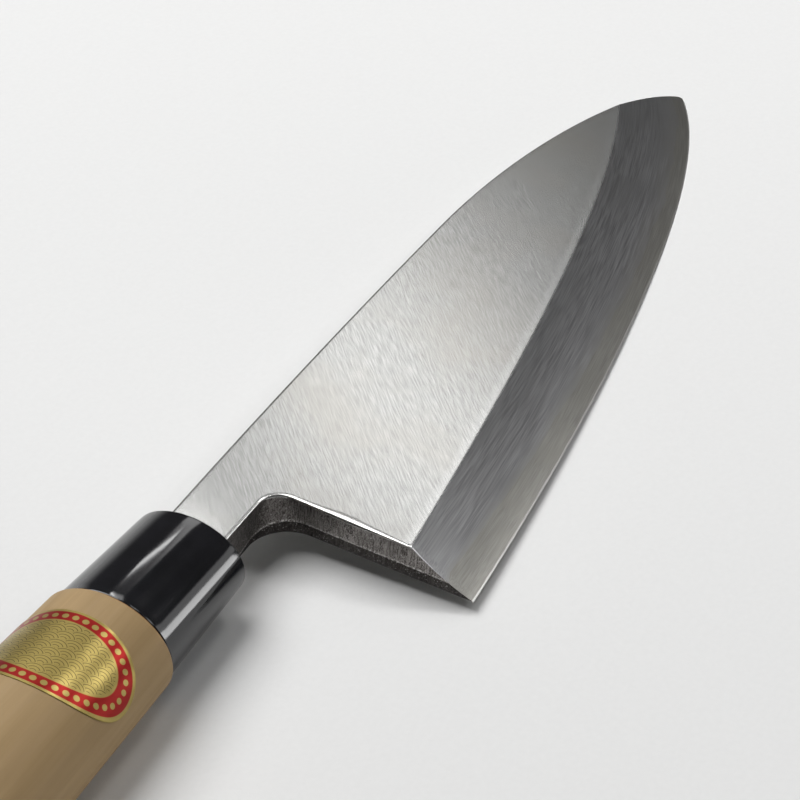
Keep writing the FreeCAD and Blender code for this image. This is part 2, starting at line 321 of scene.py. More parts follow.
def ground_steel(name, lay, tones, roughness, line_size, cloud_size, relief, borders=None):
    """Ground steel: lines and clouds mix the light, dark and stain tones and vary roughness and relief.

    The lay gives coordinates whose X runs along the lines; borders may change the colour near an edge.
    """
    material, tree, shader = new_material(name, metallic=1.0)
    light, dark, stain = tones
    lines = use_group(tree, lines_group, lay(tree), Length=line_size[0], Width=line_size[1])
    clouds = use_group(tree, clouds_group, object_mm(tree), Size=cloud_size)
    fine = math_node(tree, "MULTIPLY", lines["Lines"], 1 - band_share)
    broad = math_node(tree, "MULTIPLY", lines["Bands"], band_share)
    tone = math_node(tree, "ADD", fine, broad)
    colour = mix_colour(tree, spread(tree, tone, noise_range), dark, light)
    colour = mix_colour(tree, spread(tree, clouds["Clouds"], stain_clouds, stain_share), colour, stain)
    if borders is not None:
        colour = borders(tree, colour, tone)
    dress(tree, shader, colour, spread(tree, tone, sheen_range, roughness), tone, relief, grind_depth)
    return material


def flat_lay(tree):
    """Coordinates of the flat face, turned so that its scratches run along X."""
    return object_mm(tree, turn=flat_grind_angle, stretch=(1.0, 1.0, 0.0))


def edge_lay(tree):
    """Coordinates that follow the edge: length along it, distance from it and height over the weld."""
    return stored(tree, "grind")["Vector"]


# %% Borders on the ground faces
# Under the ridge the colour is darkened to a thin line of painted shade.
strip_colour, ridge_shade_colour = (0.385, 0.38, 0.368, 1), (0.22, 0.22, 0.225, 1)
# The light colours on this line are painted highlights: beside the ridge, and the glint along the honed
# edge.
ridge_highlight_colour, honed_highlight_colour = (0.90, 0.90, 0.89, 1), (0.85, 0.85, 0.83, 1)
fine_ragged, coarse_ragged = 0.08, 0.2
# Over each reach, in millimetres, the border's colour goes from the first share to the second.
ridge_highlight_reach, ridge_highlight_share = (-2.4, -0.3), (0.0, 0.6)
honed_highlight_reach, honed_highlight_share = (0.4, 0.25), (0.0, 0.8)
haze_reach, haze_share = (0.0, 0.55), (0.9, 0.0)
ridge_shade_reach, ridge_shade_share = (0.1, 0.5), (0.1, 0.0)


def ragged(tree, distance, tone, amount):
    """A distance made uneven by the grinding lines, by an amount either way."""
    return math_node(tree, "ADD", distance, spread(tree, tone, noise_range, (-amount, amount)))


def ridge_painted_highlight(tree, colour, tone):
    """Painted highlight: a thin line of the flat face beside the ridge is painted a lighter colour."""
    gap = ragged(tree, stored(tree, "below_ridge")["Fac"], tone, fine_ragged)
    return mix_colour(tree, spread(tree, gap, ridge_highlight_reach, ridge_highlight_share), colour, ridge_highlight_colour)


def honed_edge_highlight(tree, colour, tone):
    """The last strokes on a stone leave a honed line along the edge, whose glint is a painted highlight."""
    from_edge = ragged(tree, split(tree, edge_lay(tree))["Y"], tone, fine_ragged)
    # Painted highlight: the honed line's glint is a bright colour along the edge.
    return mix_colour(tree, spread(tree, from_edge, honed_highlight_reach, honed_highlight_share), colour, honed_highlight_colour)


def weld_haze_and_ridge_shade(tree, colour, tone):
    """Iron clears into steel colour above the weld; a thin painted shade darkens it under the ridge."""
    over_weld = ragged(tree, split(tree, edge_lay(tree))["Z"], tone, coarse_ragged)
    gap = ragged(tree, stored(tree, "below_ridge")["Fac"], tone, coarse_ragged)
    cleared = mix_colour(tree, spread(tree, over_weld, haze_reach, haze_share), colour, strip_colour)
    # Painted shade: a thin dark line under the ridge.
    return mix_colour(tree, spread(tree, gap, ridge_shade_reach, ridge_shade_share), cleared, ridge_shade_colour)


# %% The five ground finishes
flat_iron = ground_steel(
    "satin_flat_iron", flat_lay, [(0.70, 0.70, 0.685, 1), (0.55, 0.55, 0.535, 1), (0.63, 0.61, 0.57, 1)],
    roughness=(0.255, 0.243), line_size=(4.0, 0.26), cloud_size=30.0, relief=0.02, borders=ridge_painted_highlight,
)
bevel_iron = ground_steel(
    "bevel_iron", edge_lay, [(0.415, 0.415, 0.42, 1), (0.305, 0.305, 0.31, 1), (0.345, 0.345, 0.347, 1)],
    roughness=(0.31, 0.345), line_size=(9.0, 0.18), cloud_size=18.0, relief=0.035, borders=weld_haze_and_ridge_shade,
)
edge_metal = ground_steel(
    "edge_hard_steel", edge_lay,
    [(0.425, 0.416, 0.388, 1), (0.325, 0.318, 0.295, 1), (0.37, 0.36, 0.328, 1)],
    roughness=(0.31, 0.345), line_size=(9.0, 0.11), cloud_size=12.0, relief=0.035, borders=honed_edge_highlight,
)
back_steel = ground_steel(
    "hollow_back_steel", edge_lay, [(0.60, 0.60, 0.59, 1), (0.50, 0.50, 0.49, 1), (0.52, 0.50, 0.46, 1)],
    roughness=(0.30, 0.42), line_size=(24.0, 0.30), cloud_size=22.0, relief=0.10,
)
spine_iron = ground_steel(
    "ground_spine_iron", object_mm, [(0.62, 0.62, 0.61, 1), (0.48, 0.48, 0.47, 1), (0.52, 0.50, 0.46, 1)],
    roughness=(0.32, 0.44), line_size=(12.0, 0.22), cloud_size=24.0, relief=0.14,
)

# %% [markdown]
# ## Skin from the forge
# The sides of neck and heel were never polished. They keep a dark, pitted skin with filing marks from
# face to back, blotches of scale, a few bright specks, and a row of small bright beads along the weld.
# The skin is also made darker over the neck and the choil, fading out down the heel. Pits and marks
# together make one grain, which drives colour, roughness and relief, so a pit that looks dark also looks
# deep.

# %% Forge skin
mark_length, mark_width, blotch_size = 2.6, 0.26, 13.0
pit_scale, pit_share, grain_range = 5.5, 0.8, (0.43, 0.57)
choil_dark_reach, blotch_and_choil_share = (-15.0, -9.0), 0.6
row_height, row_fade = 0.2, (0.3, 0.1)
bead_scale, bead_noise, bead_share = 3.2, (0.5, 0.6), (0.0, 0.8)
bright_speck, skin_roughness, skin_relief, skin_depth = (0.75, 0.73, 0.71, 1), (0.36, 0.6), 0.4, 0.15 * MM


def forge_skin(name, light, dark):
    """Dark rough skin: pits and filing marks, blotches of scale, bright specks and a row along the weld."""
    material, tree, shader = new_material(name, metallic=1.0)
    place = object_mm(tree)
    parts = split(tree, place)
    turned = {"X": parts["Z"], "Y": parts["X"], "Z": parts["Y"]}
    upright = add(tree, "ShaderNodeCombineXYZ", turned).outputs[0]
    marks = use_group(tree, lines_group, upright, Length=mark_length, Width=mark_width)
    clouds = use_group(tree, clouds_group, place, Size=blotch_size)
    pits = math_node(tree, "MULTIPLY", noise(tree, place, pit_scale, roughness=0.7), pit_share)
    grain = math_node(tree, "ADD", pits, math_node(tree, "MULTIPLY", marks["Lines"], 1 - pit_share))
    colour = mix_colour(tree, spread(tree, grain, grain_range), dark, light)
    # Besides the random blotches, the skin is made darker over the neck and the choil, fading out down the
    # heel.
    blotches_and_choil = math_node(tree, "MAXIMUM", clouds["Clouds"], spread(tree, parts["Y"], choil_dark_reach))
    colour = mix_colour(tree, math_node(tree, "MULTIPLY", blotches_and_choil, blotch_and_choil_share), colour, dark)
    over_row = math_node(tree, "SUBTRACT", split(tree, edge_lay(tree))["Z"], row_height)
    row = spread(tree, math_node(tree, "ABSOLUTE", over_row), row_fade)
    beads = spread(tree, noise(tree, place, bead_scale, detail=1.0), bead_noise, bead_share)
    bright = math_node(tree, "MAXIMUM", clouds["Specks"], math_node(tree, "MULTIPLY", row, beads))
    colour = mix_colour(tree, bright, colour, bright_speck)
    roughness = spread(tree, grain, sheen_range, skin_roughness)
    dress(tree, shader, colour, roughness, grain, skin_relief, skin_depth)
    return material


side_iron = forge_skin("forge_skin_iron", (0.56, 0.53, 0.51, 1), (0.035, 0.03, 0.027, 1))
side_steel = forge_skin("forge_skin_steel", (0.13, 0.12, 0.115, 1), (0.015, 0.013, 0.012, 1))
steels = (flat_iron, bevel_iron, edge_metal, back_steel, spine_iron, side_iron, side_steel)
print("steel finishes:", [material.name for material in steels])

# %% [markdown]
# ## The blade's outline
# Seen from above, the blade is bounded by a spine that rises gently to a crest and falls to the tip, an
# edge with a long belly, a nearly square heel and a hollow corner to the neck, the choil. Each stretch is a
# line, an arc or a Bezier curve. They are kept as two dense paths, an upper one along the spine and a lower
# one round neck, heel and edge, which both end in the middle of the rounded tip.

# %% Curves of the outline
heel = np.array([17.9, -49.3])
tip = np.array([202.9, -13.0])
crest = np.array([118.0, 8.7])
edge_heel_pull, edge_tip_pull = (52.0, 3.2), (31.5, 23.0)
spine_crest_pull, spine_tip_pull = (46.5, 0.0), (-3.0, 8.6)
neck_x, neck_top, neck_bottom, neck_rise = 1.2, 6.2, -6.2, 0.5
arc_count, stretch_count = 1200, 400
dense = np.linspace(0, 1, 2001)
round_handle = 0.5523


def bezier(poles, share):
    """Points of a Bezier curve: the poles weighted by the Bernstein terms of the share."""
    order = len(poles) - 1
    share = np.asarray(share)[:, None]
    weights = [math.comb(order, i) * share**i * (1 - share) ** (order - i) for i in range(order + 1)]
    return np.sum([weight * np.asarray(pole) for weight, pole in zip(weights, poles)], 0)


def straight(start, end):
    """Points of a straight line."""
    return start + np.linspace(0, 1, stretch_count)[:, None] * (np.asarray(end) - start)


def round_corner(before, corner, after):
    """A corner rounded from one point to another by a cubic that stays close to a circle."""
    first = before + (corner - before) * round_handle
    second = after + (corner - after) * round_handle
    return bezier([before, first, second, after], np.linspace(0, 1, stretch_count))


def path_lengths(path):
    """Length along a path at each of its points."""
    return np.concatenate([[0], np.cumsum(np.linalg.norm(np.diff(path, axis=0), axis=1))])


edge_line = bezier([heel, heel + edge_heel_pull, tip - edge_tip_pull, tip], dense)
arc_rise = crest[1] - neck_top
arc_radius = (crest[0] ** 2 + arc_rise**2) / (2 * arc_rise)
arc_x = np.linspace(neck_x, crest[0], arc_count)
arc_y = crest[1] - arc_radius + np.sqrt(arc_radius**2 - (crest[0] - arc_x) ** 2)
spine_fall = bezier([crest, crest + spine_crest_pull, tip + spine_tip_pull, tip], dense)
spine_line = np.concatenate([np.stack([arc_x, arc_y], 1), spine_fall[1:]])


def edge_y(x):
    """Y of the cutting edge at X."""
    return np.interp(x, edge_line[:, 0], edge_line[:, 1])


def spine_y(x):
    """Y of the spine at X."""
    return np.interp(x, spine_line[:, 0], spine_line[:, 1])


# %% Upper and lower path
heel_slant = math.radians(2.0)
choil_radius, choil_back_radius, tip_radius = 5.0, 9.0, 1.2
corner_y = neck_bottom + neck_rise
corner = np.array([heel[0] + (corner_y - heel[1]) * math.tan(heel_slant), corner_y])
neck_start = np.array([neck_x, neck_bottom])
to_heel = (heel - corner) / np.linalg.norm(heel - corner)
to_neck = (neck_start - corner) / np.linalg.norm(neck_start - corner)
short_spine = spine_line[np.linalg.norm(spine_line - tip, axis=1) > tip_radius]
short_edge = edge_line[np.linalg.norm(edge_line - tip, axis=1) > tip_radius]
tip_arc = round_corner(short_spine[-1], tip, short_edge[-1])
tip_middle = len(tip_arc) // 2
upper_path = np.concatenate([short_spine, tip_arc[1 : tip_middle + 1]])


def lower_outline(radius):
    """Neck, choil of a given radius, heel and edge as one path, and where the choil ends on the heel."""
    choil_start, choil_end = corner + to_neck * radius, corner + to_heel * radius
    stretches = [
        straight(neck_start, choil_start)[:-1],
        round_corner(choil_start, corner, choil_end),
        straight(choil_end, heel)[1:-1],
        short_edge,
        tip_arc[tip_middle:-1][::-1],
    ]
    return np.concatenate(stretches), choil_end


lower_path, choil_end = lower_outline(choil_radius)
lower_foot_path, foot_choil_end = lower_outline(choil_back_radius)
print("outline:", len(upper_path), "points above,", len(lower_path), "below")

# %% [markdown]
# ## Thickness: flat face, ridge, hollow bevel and weld
# The upper face is one plane that thins towards tip and edge. The bevel is hollow ground: across the
# blade it is a shallow arc from the edge up to the ridge. A knife maker gets the ridge by grinding one
# surface into the other, and so does the formula: the top is the lower of the two, with a little rounding
# where they meet. The weld between iron and steel is a scarf at the neck, then a long thin curve, with
# slight waves as in forging. The back is ground hollow too, so that only its rim touches a stone.

# %% Flat face, bevel and edge
spine_thickness, tip_thickness, heel_thickness = 8.7, 2.6, 7.2
back_z = -spine_thickness / 2
bevel_width_heel, bevel_width_tip = 13.4, 18.1
bevel_hollow, bevel_hollow_tip = 0.6, 0.1
edge_land, sharp_land, micro_slope = 0.12, 0.02, 0.66
ridge_softness, shoulder_ease = 0.1, 0.5
length_taper = (spine_thickness - tip_thickness) / tip[0]
ridge_at_heel = heel[1] + bevel_width_heel
side_taper = (spine_thickness - length_taper * heel[0] - heel_thickness) / (neck_top - ridge_at_heel)


def ridge_y(x):
    """Y of the ridge: the edge plus a bevel width that grows quickly, then slowly."""
    share = (x - heel[0]) / (tip[0] - heel[0])
    return edge_y(x) + bevel_width_heel + (bevel_width_tip - bevel_width_heel) * (2 - share) * share


def face_z(x, y):
    """Height of the flat face: a plane that falls with X and towards the edge."""
    return back_z + spine_thickness - length_taper * x - side_taper * (neck_top - y)


def bevel_z(x, y):
    """Height of the bevel: the chord from edge to ridge, less a parabola whose depth fades to the tip."""
    hollow = bevel_hollow + (bevel_hollow_tip - bevel_hollow) * ((x - heel[0]) / (tip[0] - heel[0])) ** 2
    low_y, high_y = edge_y(x), ridge_y(x)
    low_z, high_z = back_z + edge_land, face_z(x, high_y)
    share = (y - low_y) / (high_y - low_y)
    slope = (high_z - low_z) / (high_y - low_y)
    return low_z + (high_z - low_z) * share - 4 * hollow * np.sqrt(1 + slope**2) * share * (1 - share)


def top_z(x, y):
    """Height of the top: the lowest of face, bevel and tiny edge bevel, rounded at ridge and shoulder."""
    face, bevel = face_z(x, y), bevel_z(x, y)
    ground = (face + bevel - np.sqrt((face - bevel) ** 2 + ridge_softness**2)) / 2
    micro = back_z + sharp_land + micro_slope * np.maximum(y - edge_y(x), 0)
    inside = np.clip((neck_x + shoulder_ease - x) / shoulder_ease, 0, 1)
    return np.minimum(ground, micro) - shoulder_ease * (1 - np.sqrt(1 - inside**2))


# %% Weld and hollow back
scarf_x, weld_start = 3.0, (20.5, 2.6)
weld_curve = bezier([weld_start, (65.5, 0.55), (205.9, 0.5)], dense)
# Each wave has a height, a length and a shift.
weld_waves, wave_growth = ((0.035, 5.3, 0.0), (0.03, 2.9, 1.0), (0.02, 1.3, 2.0)), 20.0
hollow_from, hollow_to, rim_at_edge, rim_at_spine = 22.9, 186.9, 3.2, 2.6
rim_sink, hollow_least, hollow_more, hollow_power = 0.1, 0.05, 0.45, 4


def weld_z(x):
    """Height of the weld: a straight scarf up to the heel, then a curve with waves of a few hundredths."""
    scarf = weld_start[1] * (x - scarf_x) / (weld_start[0] - scarf_x)
    layer = np.interp(x, weld_curve[:, 0], weld_curve[:, 1])
    grown = np.clip((x - weld_start[0]) / wave_growth, 0, 1)
    waves = sum(height * np.sin(x / length + shift) for height, length, shift in weld_waves)
    return back_z + np.where(x < weld_start[0], scarf, layer) + waves * grown


def hollow_z(x, y):
    """Height of the back: flat, with a shallow hollow inside a rim, fading towards heel and tip."""
    share = np.clip((x - hollow_from) / (hollow_to - hollow_from), 0, 1)
    low_y, high_y = edge_y(x) + rim_at_edge, spine_y(x) - rim_at_spine
    across = (2 * y - low_y - high_y) / (high_y - low_y)
    swell = hollow_least + hollow_more * (1 - (2 * share - 1) ** hollow_power)
    return back_z + np.maximum(swell * (1 - across**2) - rim_sink, 0)


middle_x = (heel[0] + tip[0]) / 2
middle_top = top_z(middle_x, ridge_y(middle_x)) - back_z
print(f"half way along: {middle_top:.2f} mm thick at the ridge, weld {weld_z(middle_x) - back_z:.2f} mm up")

# %% [markdown]
# ## Ribs across the blade
# The paths are sampled at matching places, and each pair of points is joined by a straight rib. Along
# every rib the places are found where it crosses the weld's line on the bevel and the ridge, by halving an
# interval for all ribs at once. Rows then run between these crossings, closely spaced beside edge and
# ridge. A polished face rolls off slightly before its border, so the ribs end at the inner side of that
# rim: it is broadest half way down the heel, narrow along the spine, and gone where the blade is thin.

# %% Sampled paths
# Numbers of ribs along neck, choil start, choil, upper heel, bevel's end, belly and tip.
rib_counts = [6, 14, 26, 30, 36, 200, 60]
edge_pair_x, spine_pairs_x = 186.0, (14.0, 24.0, 46.0, 60.0)
choil_from, choil_to = stretch_count - 1, 2 * (stretch_count - 1)
near_tip = np.linspace(150.0, 200.0, 5001)
spine_ridge_x = near_tip[np.argmax(ridge_y(near_tip) > spine_y(near_tip))]


def sample(path, stops, inward_side):
    """Points at even steps between the stops, and the unit direction into the blade at each."""
    lengths = path_lengths(path)
    places = [np.linspace(a, b, n, endpoint=False) for a, b, n in zip(stops, stops[1:], rib_counts)]
    places = np.concatenate(places + [[stops[-1]]])
    heading = np.gradient(path, axis=0)
    inward = np.stack([-heading[:, 1], heading[:, 0]], 1) * inward_side
    points = np.stack([np.interp(places, lengths, path[:, i]) for i in range(2)], 1)
    normals = np.stack([np.interp(places, lengths, inward[:, i]) for i in range(2)], 1)
    return points, normals / np.linalg.norm(normals, axis=1)[:, None]


def lower_stops(path, choil_end):
    """Lengths along a lower path at which ribs are set: neck, scarf, choil, ridge, heel, belly and tip."""
    lengths = path_lengths(path)
    at_heel = lengths[np.argmin(np.linalg.norm(path - heel, axis=1))]
    at_ridge = lengths[choil_to] + choil_end[1] - ridge_at_heel
    on_edge = at_heel + np.interp(edge_pair_x, short_edge[:, 0], path_lengths(short_edge))
    before_ridge = [0, scarf_x - neck_x, lengths[choil_from], lengths[choil_to]]
    return before_ridge + [at_ridge, at_heel, on_edge, lengths[-1]]


upper_lengths = path_lengths(upper_path)
upper_places = [neck_x, scarf_x, *spine_pairs_x, spine_ridge_x]
upper_stops = list(np.interp(upper_places, upper_path[:, 0], upper_lengths)) + [upper_lengths[-1]]
upper, upper_in = sample(upper_path, upper_stops, -1)
lower, lower_in = sample(lower_path, lower_stops(lower_path, choil_end), 1)
lower_foot = sample(lower_foot_path, lower_stops(lower_foot_path, foot_choil_end), 1)[0]
scarf_rib, ridge_rib, heel_rib, nose_rib = (sum(rib_counts[:n]) for n in (1, 4, 5, 6))
for border in (upper, lower, lower_foot):
    border[scarf_rib, 0] = scarf_x
print(len(lower), "ribs; the ridge meets the spine at", spine_ridge_x.round(2))

# %% Rim of the faces
roll_width, roll_drop, ease_radius, spine_roll = 1.3, 0.08, 0.5, 0.5
worn_y, worn_reach, worn_least, worn_more = -22.0, 5.5, 0.7, 0.6
roll_low_y, roll_last_x, roll_fade = -43.0, 197.5, 14.0


def smooth_step(value):
    """0 below 0, 1 above 1 and an even S between."""
    value = np.clip(value, 0, 1)
    return value * value * (3 - 2 * value)


worn = worn_least + worn_more * np.exp(-(((lower[:, 1] - worn_y) / worn_reach) ** 2))
before_heel = np.arange(len(lower)) < heel_rib
roll_share_low = worn * smooth_step((lower[:, 1] - roll_low_y) / roll_fade) * before_heel
roll_share_up = spine_roll * smooth_step((roll_last_x - upper[:, 0]) / roll_fade)
lower_rim = lower + lower_in * (roll_width * roll_share_low)[:, None]
upper_rim = upper + upper_in * (roll_width * roll_share_up)[:, None]
rim_widths = roll_width * roll_share_low.max(), roll_width * roll_share_up.max()
print("rim: up to %.2f mm wide at the heel, %.2f mm at the spine" % rim_widths)

# %% Strip, bevel and flat face
halvings, strip_rows, face_rows = 45, np.linspace(0, 1, 14), np.linspace(0, 1, 28)


def on_ribs(share):
    """Plan points at shares (ribs, rows) of the way from the lower to the upper rim."""
    share = share[..., None]
    return lower_rim[:, None] * (1 - share) + upper_rim[:, None] * share


def crossing(height):
    """Share of each rib at which a rising function passes zero, by halving; 0 or 1 if it never does."""
    def at(share):
        points = on_ribs(share)
        return height(points[..., 0], points[..., 1])

    low, high = np.zeros((len(lower), 1)), np.ones((len(lower), 1))
    at_start, at_end = at(low), at(high)
    for _ in range(halvings):
        middle = (low + high) / 2
        above = at(middle) > 0
        low, high = np.where(above, low, middle), np.where(above, middle, high)
    return np.where(at_end <= 0, 1.0, np.where(at_start >= 0, 0.0, high))


def raised(plan, height):
    """Plan points lifted to a height function."""
    return np.concatenate([plan, height(plan[..., 0], plan[..., 1])[..., None]], -1)


at_weld = crossing(lambda x, y: bevel_z(x, y) - weld_z(x))
at_ridge = np.maximum(crossing(lambda x, y: y - ridge_y(x)), at_weld)
strip = raised(on_ribs(at_weld * strip_rows**2), top_z)
bevel = raised(on_ribs(at_weld + (at_ridge - at_weld) * (1 - (1 - face_rows) ** 2)), top_z)
flat = raised(on_ribs(at_ridge + (1 - at_ridge) * face_rows**2), top_z)
print("on the heel's rib, weld at", at_weld[heel_rib].round(3), "and ridge at", at_ridge[heel_rib].round(3))

# %% [markdown]
# ## Sides of the blade
# The rim's profile is a slight roll, which leans more and more, then a small rounding over into the side.
# It is carried along both paths. Below it the side drops to the weld, and from the weld to the back, where
# the steel has a tiny rounding of its own. The sides stand upright, but in the choil the wall leans out:
# its corner is rounder at the back than at the flat face.

# %% Iron sides
roll_rows, turn_rows, foot_rounds = 7, 9, 5
roll = np.linspace(0, 1, roll_rows)
lean = math.atan(2 * roll_drop / (roll_width - ease_radius))
turn = np.linspace(lean, math.pi / 2, turn_rows)[1:]
ease_inset = ease_radius * (1 - np.sin(turn)) / (1 - math.sin(lean))
ease_drop = ease_radius * (math.cos(lean) - np.cos(turn))
profile_inset = np.concatenate([roll_width - (roll_width - ease_radius) * roll, ease_inset])
profile_drop = np.concatenate([roll_drop * roll**2, roll_drop + ease_drop])
side_rows = np.linspace(0, 1, 9)


def iron_wall(path, foot_path, inward, roll_share):
    """The rolled rim, then the side down to the weld, leaning from a path to its foot: (ribs, rows, 3).

    The weld's height changes along X and the side leans along X, so the foot is found in a few rounds.
    """
    plan = path[:, None] + inward[:, None] * (profile_inset * roll_share[:, None])[..., None]
    rim = raised(plan, top_z)
    top = rim[:, 0, 2].copy()
    lean_out = (foot_path - path) / (top - back_z)[:, None]
    rim[..., 2] -= profile_drop * roll_share[:, None]
    rim[..., :2] += lean_out[:, None] * (top[:, None] - rim[..., 2])[..., None]
    start, foot = rim[:, -1], rim[:, -1].copy()
    for _ in range(foot_rounds):
        foot[:, 2] = np.minimum(np.maximum(weld_z(foot[:, 0]), back_z), start[:, 2])
        foot[:, :2] = start[:, :2] + lean_out * (start[:, 2] - foot[:, 2])[:, None]
    side = start[:, None] + (foot - start)[:, None] * side_rows[None, :, None]
    return rim, side, lean_out


lower_rim_rows, lower_side, lower_lean = iron_wall(lower, lower_foot, lower_in, roll_share_low)
upper_rim_rows, upper_side, upper_lean = iron_wall(upper, upper, upper_in, roll_share_up)
all_steel = (at_weld > 0)[:, :, None]
weld_line = bevel[:, :1]
steel_top_low = lower_side[:, -1:]
lower_rim_rows = np.where(all_steel, weld_line, lower_rim_rows)
lower_side = np.where(all_steel, weld_line, lower_side)
strip = np.where(all_steel, strip, steel_top_low)
iron_foot_low, iron_foot_up = lower_side[:, -1], upper_side[:, -1]
print("iron sides:", lower_side.shape, upper_side.shape)

# %% Weld, steel sides and back
inner_rows, foot_rows, foot_ease, foot_ease_share = 40, 6, 0.15, 0.4


def between(low, high, height):
    """A surface of straight ribs between two borders, lifted to a height everywhere but at the borders."""
    share = np.linspace(0, 1, inner_rows)[None, :, None]
    points = low[:, None] * (1 - share) + high[:, None] * share
    inner = points[:, 1:-1]
    inner[..., 2] = height(inner[..., 0], inner[..., 1])
    return points


def weld_surface(x, y):
    """The weld, held between the back, where the steel has not begun, and the ground top near the tip."""
    return np.minimum(np.maximum(weld_z(x), back_z), top_z(x, y))


def steel_wall(top, inward, lean_out):
    """The side of the steel layer from the weld to the back, leaning on, with a small rounding below."""
    room = top[:, 2] - back_z
    ease = np.where(room > foot_ease, np.minimum(foot_ease, foot_ease_share * room), 0.0)
    angle = np.linspace(0, math.pi / 2, foot_rows)
    inset = np.concatenate([[0], 1 - np.cos(angle)])
    height = 1 - np.sin(angle)
    wall = np.repeat(top[:, None], len(inset), 1)
    wall[:, 1:, 2] = back_z + height * ease[:, None]
    wall[..., :2] += lean_out[:, None] * (top[:, None, 2] - wall[..., 2])[..., None]
    wall[..., :2] += inward[:, None] * (inset * ease[:, None])[..., None]
    return wall


weld = between(iron_foot_low, iron_foot_up, weld_surface)
steel_low = steel_wall(np.where(all_steel[:, 0], strip[:, 0], steel_top_low[:, 0]), lower_in, lower_lean)
steel_up = steel_wall(iron_foot_up, upper_in, upper_lean)
back = between(steel_low[:, -1], steel_up[:, -1], hollow_z)
print("weld:", weld.shape, "steel sides:", steel_low.shape, "back:", back.shape)

# %% [markdown]
# ## The two blade pieces
# The iron body also carries the tang: the shoulder at the neck is a face between the outline of the neck's
# end and a smaller rectangle, which then tapers back into the handle. Near the tip the iron runs out and
# only steel is left, so the iron's ribs close there in one point. Both pieces are closed shells that
# share the weld.

# %% Iron body with its tang
tang_root, tang_end, tang_back_x = (10.4, 6.7), (5.0, 3.0), -96.0
steel_only_share, smallest = 0.995, 1e-9
FLAT, BEVEL, SIDE, SPINE, WELD = range(5)


def box_ring(x, size, angles):
    """A rectangle across X, met by rays at the given angles: the nearer of its upright and level sides."""
    across, upright = np.cos(angles), np.sin(angles)
    to_upright_side = size[0] / 2 / np.maximum(np.abs(across), smallest)
    to_level_side = size[1] / 2 / np.maximum(np.abs(upright), smallest)
    reach = np.minimum(to_upright_side, to_level_side)
    return np.stack([np.full_like(angles, x), reach * across, reach * upright], 1)


shoulder = np.concatenate([
    flat[0, :-1], upper_rim_rows[0, :-1], upper_side[0, :-1],
    weld[0, ::-1][:-1], lower_side[0, ::-1][:-1], lower_rim_rows[0, ::-1][:-1],
])
ray_angles = np.arctan2(shoulder[:, 2], shoulder[:, 1])
tang_rings = np.array([
    shoulder, box_ring(neck_x, tang_root, ray_angles), box_ring(tang_back_x, tang_end, ray_angles),
    np.repeat([[tang_back_x, 0.0, 0.0]], len(shoulder), 0),
])
last_iron = int(np.argmax(at_weld[:, 0] > steel_only_share))


def iron_part(grid):
    """The ribs of a grid up to where only steel is left near the tip, where they all close in one point."""
    part = grid[: last_iron + 1].copy()
    part[last_iron] = flat[last_iron, -1]
    return part


lower_rim_part, upper_rim_part = iron_part(lower_rim_rows), iron_part(upper_rim_rows)
iron_patches = [
    (iron_part(flat), False, FLAT), (iron_part(bevel), False, BEVEL), (iron_part(lower_side), False, SIDE),
    (iron_part(upper_side), False, SPINE), (iron_part(weld), False, WELD),
    (lower_rim_part[: ridge_rib + 1], False, FLAT), (lower_rim_part[ridge_rib:], False, BEVEL),
    (upper_rim_part[: nose_rib + 1], False, FLAT), (upper_rim_part[nose_rib:], False, BEVEL),
    (tang_rings, True, SIDE),
]
iron_finishes = [flat_iron, bevel_iron, side_iron, spine_iron, side_iron]
blade_iron = make_piece("blade_iron", iron_patches, iron_finishes, ["blade_body"])
shade(blade_iron, WELD)

# %% Edge steel
STRIP, EDGE_SIDE, BACK, SPINE, WELD = range(5)
with_steel = slice(scarf_rib, None)
steel_patches = [
    (strip[with_steel], False, STRIP), (steel_low[scarf_rib : heel_rib + 1], False, EDGE_SIDE),
    (steel_low[heel_rib:], False, STRIP), (steel_up[with_steel], False, SPINE),
    (back[with_steel], False, BACK), (weld[with_steel], False, WELD),
]
steel_finishes = [edge_metal, side_steel, back_steel, spine_iron, side_steel]
blade_steel = make_piece("blade_edge_steel", steel_patches, steel_finishes, ["edge_steel"])
shade(blade_steel, WELD)

# %% Coordinates that follow the edge
edge_run = path_lengths(edge_line)


def follow_edge(piece):
    """Stores length along the edge, distance from it, height over the weld, and distance to the ridge."""
    x, y, z = working_points(piece).T
    values = [np.interp(x, edge_line[:, 0], edge_run), y - edge_y(x), z - weld_z(x)]
    add_attribute(piece, "grind", np.stack(values, 1))
    add_attribute(piece, "below_ridge", ridge_y(x) - y)


follow_edge(blade_iron)
follow_edge(blade_steel)
print("cutting edge:", edge_run[-1].round(1), "mm along its curve")

# %% [markdown]
# ## Ovals carried along the axis
# Ferrule, handle and resin seal are all ovals across X whose size changes along the axis. One ring is an
# ellipse, or a squarer oval for the tang's hole, and a list of rings along the axis makes the whole skin.
# The ends of handle and ferrule turn over a quarter of a circle, so that no corner is left sharp.

# %% Ring helpers
around = np.linspace(0, 2 * math.pi, 160, endpoint=False)
quarter = np.linspace(0, math.pi / 2, 8)
hole_squareness = 14.0


def oval_ring(x, half_width, half_height, squareness=2.0):
    """A closed oval across X: powers of cosine and sine, an ellipse at 2 and nearly a box when large."""
    across, upright = np.cos(around), np.sin(around)
    bend = 2.0 / squareness
    y = half_width * np.sign(across) * np.abs(across) ** bend
    z = half_height * np.sign(upright) * np.abs(upright) ** bend
    return np.stack([np.full_like(y, x), y, z], 1)


def eased_end(end_x, into, ease, half_at):
    """Rings over a quarter circle from end face to side; into is 1 or -1, the way into the piece."""
    places = end_x + into * ease * (1 - np.cos(quarter))
    insets = ease * (1 - np.sin(quarter))
    return [oval_ring(x, *(half_at(x) - inset)) for x, inset in zip(places, insets)]
